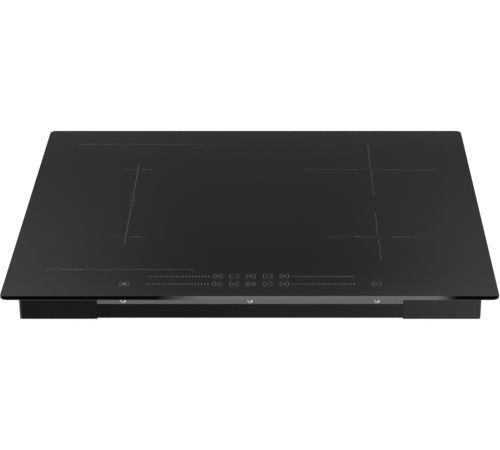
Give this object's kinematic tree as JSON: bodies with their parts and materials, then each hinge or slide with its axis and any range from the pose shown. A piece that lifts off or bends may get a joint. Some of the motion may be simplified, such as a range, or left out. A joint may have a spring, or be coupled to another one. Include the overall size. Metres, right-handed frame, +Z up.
{
  "type": "induction hob",
  "caption": "Built-in induction hob: flat black ceramic glass with printed zones and touch controls on a shallow sheet-metal case, coils sprung up under the glass.",
  "frame": {"origin": "middle of the glass, in the plane of the worktop that the foam seal rests on", "axes": "+X to the user's right, +Y to the rear, +Z up out of the cooking surface"},
  "size_m": [0.59, 0.52, 0.044],
  "materials": {
    "black_glass": "polished black ceramic glass with faint grey printing",
    "foam_seal": "closed-cell foam",
    "silicone": "matt black silicone",
    "galvanised_steel": "bare galvanised sheet",
    "bright_steel": "bright zinc plate",
    "black_steel": "satin black powder coat",
    "black_plastic": "fine-grained moulding",
    "aluminium": "mill finish",
    "circuit_board": "solder mask",
    "dark_plastic": "moulded",
    "motor_core": "lacquered core and windings",
    "capacitor_case": "epoxy-filled box",
    "choke_winding": "enamelled copper",
    "pale_plastic": "moulded",
    "bush_rubber": "matt",
    "foam_pad": "conductive foam",
    "ribbon_skin": "flat cable",
    "wire_skin": "silicone insulation",
    "spring_steel": "round wire",
    "former_plastic": "glass-filled moulding",
    "litz_wire": "varnished litz",
    "mica_sheet": "pressed mica",
    "ferrite": "sintered",
    "sensor_cap": "ceramic-filled moulding"
  },
  "bodies": {
    "housing": {"board_posts": "bright_steel", "bottom_tray": "black_steel", "cable_inlet_bush": "bush_rubber", "carrier_posts": "bright_steel", "coil_carrier_plate": "aluminium", "coil_springs": "spring_steel", "fan_motors": "motor_core", "film_capacitors": "capacitor_case", "filter_board": "circuit_board", "frame_screws": "bright_steel", "front_left_corner_cover": "black_plastic", "front_right_corner_cover": "black_plastic", "glass_adhesive": "silicone", "glass_support_frame": "galvanised_steel", "glass_top": "black_glass", "inner_screws": "bright_steel", "inner_wiring": "wire_skin", "left_fan_housing": "dark_plastic", "left_heat_sink": "aluminium", "left_power_board": "circuit_board", "line_chokes": "choke_winding", "power_transistors": "dark_plastic", "right_fan_housing": "dark_plastic", "right_heat_sink": "aluminium", "right_power_board": "circuit_board", "terminal_block": "pale_plastic", "terminal_screws": "bright_steel", "touch_board": "circuit_board", "touch_board_carrier": "pale_plastic", "touch_pads": "foam_pad", "touch_ribbon_cable": "ribbon_skin", "worktop_seal": "foam_seal"},
    "left_fan": {"left_fan_impeller": "dark_plastic"},
    "right_fan": {"right_fan_impeller": "dark_plastic"},
    "terminal_flap": {"terminal_lid": "black_plastic"},
    "rear_left_coil": {"rear_left_coil_former": "former_plastic", "rear_left_coil_winding": "litz_wire", "rear_left_coil_mica": "mica_sheet", "rear_left_coil_ferrites": "ferrite", "rear_left_sensor_spring": "spring_steel"},
    "rear_left_sensor": {"rear_left_sensor": "sensor_cap"},
    "front_left_coil": {"front_left_coil_former": "former_plastic", "front_left_coil_winding": "litz_wire", "front_left_coil_mica": "mica_sheet", "front_left_coil_ferrites": "ferrite", "front_left_sensor_spring": "spring_steel"},
    "front_left_sensor": {"front_left_sensor": "sensor_cap"},
    "rear_right_coil": {"rear_right_coil_former": "former_plastic", "rear_right_coil_winding": "litz_wire", "rear_right_coil_mica": "mica_sheet", "rear_right_coil_ferrites": "ferrite", "rear_right_sensor_spring": "spring_steel"},
    "rear_right_sensor": {"rear_right_sensor": "sensor_cap"},
    "front_right_coil": {"front_right_coil_former": "former_plastic", "front_right_coil_winding": "litz_wire", "front_right_coil_mica": "mica_sheet", "front_right_coil_ferrites": "ferrite", "front_right_sensor_spring": "spring_steel"},
    "front_right_sensor": {"front_right_sensor": "sensor_cap"}
  },
  "joints": [
    {"name": "left_fan_spin", "type": "hinge", "parent": "housing", "child": "left_fan", "pos_m": [-0.213, -0.128, -0.03], "axis": [0, 0, 1], "continuous": true},
    {"name": "right_fan_spin", "type": "hinge", "parent": "housing", "child": "right_fan", "pos_m": [0.131, -0.128, -0.03], "axis": [0, 0, 1], "continuous": true},
    {"name": "rear_left_coil_float", "type": "slide", "parent": "housing", "child": "rear_left_coil", "axis": [0, 0, 1], "range_m": [-0.003, 0], "stiffness_N_per_m": 6000, "springref_m": 0.003, "deforming": ["coil_springs"]},
    {"name": "rear_left_sensor_press", "type": "slide", "parent": "rear_left_coil", "child": "rear_left_sensor", "axis": [0, 0, 1], "range_m": [-0.002, 0], "stiffness_N_per_m": 150, "springref_m": 0.003, "deforming": ["rear_left_sensor_spring"]},
    {"name": "front_left_coil_float", "type": "slide", "parent": "housing", "child": "front_left_coil", "axis": [0, 0, 1], "range_m": [-0.003, 0], "stiffness_N_per_m": 6000, "springref_m": 0.003, "deforming": ["coil_springs"]},
    {"name": "front_left_sensor_press", "type": "slide", "parent": "front_left_coil", "child": "front_left_sensor", "axis": [0, 0, 1], "range_m": [-0.002, 0], "stiffness_N_per_m": 150, "springref_m": 0.003, "deforming": ["front_left_sensor_spring"]},
    {"name": "rear_right_coil_float", "type": "slide", "parent": "housing", "child": "rear_right_coil", "axis": [0, 0, 1], "range_m": [-0.003, 0], "stiffness_N_per_m": 6000, "springref_m": 0.003, "deforming": ["coil_springs"]},
    {"name": "rear_right_sensor_press", "type": "slide", "parent": "rear_right_coil", "child": "rear_right_sensor", "axis": [0, 0, 1], "range_m": [-0.002, 0], "stiffness_N_per_m": 150, "springref_m": 0.003, "deforming": ["rear_right_sensor_spring"]},
    {"name": "front_right_coil_float", "type": "slide", "parent": "housing", "child": "front_right_coil", "axis": [0, 0, 1], "range_m": [-0.003, 0], "stiffness_N_per_m": 6000, "springref_m": 0.003, "deforming": ["coil_springs"]},
    {"name": "front_right_sensor_press", "type": "slide", "parent": "front_right_coil", "child": "front_right_sensor", "axis": [0, 0, 1], "range_m": [-0.002, 0], "stiffness_N_per_m": 150, "springref_m": 0.003, "deforming": ["front_right_sensor_spring"]},
    {"name": "terminal_lid_hinge", "type": "hinge", "parent": "housing", "child": "terminal_flap", "pos_m": [0.048, 0.1907, -0.0356], "axis": [-1, 0, 0], "range_deg": [0, 100]}
  ]
}
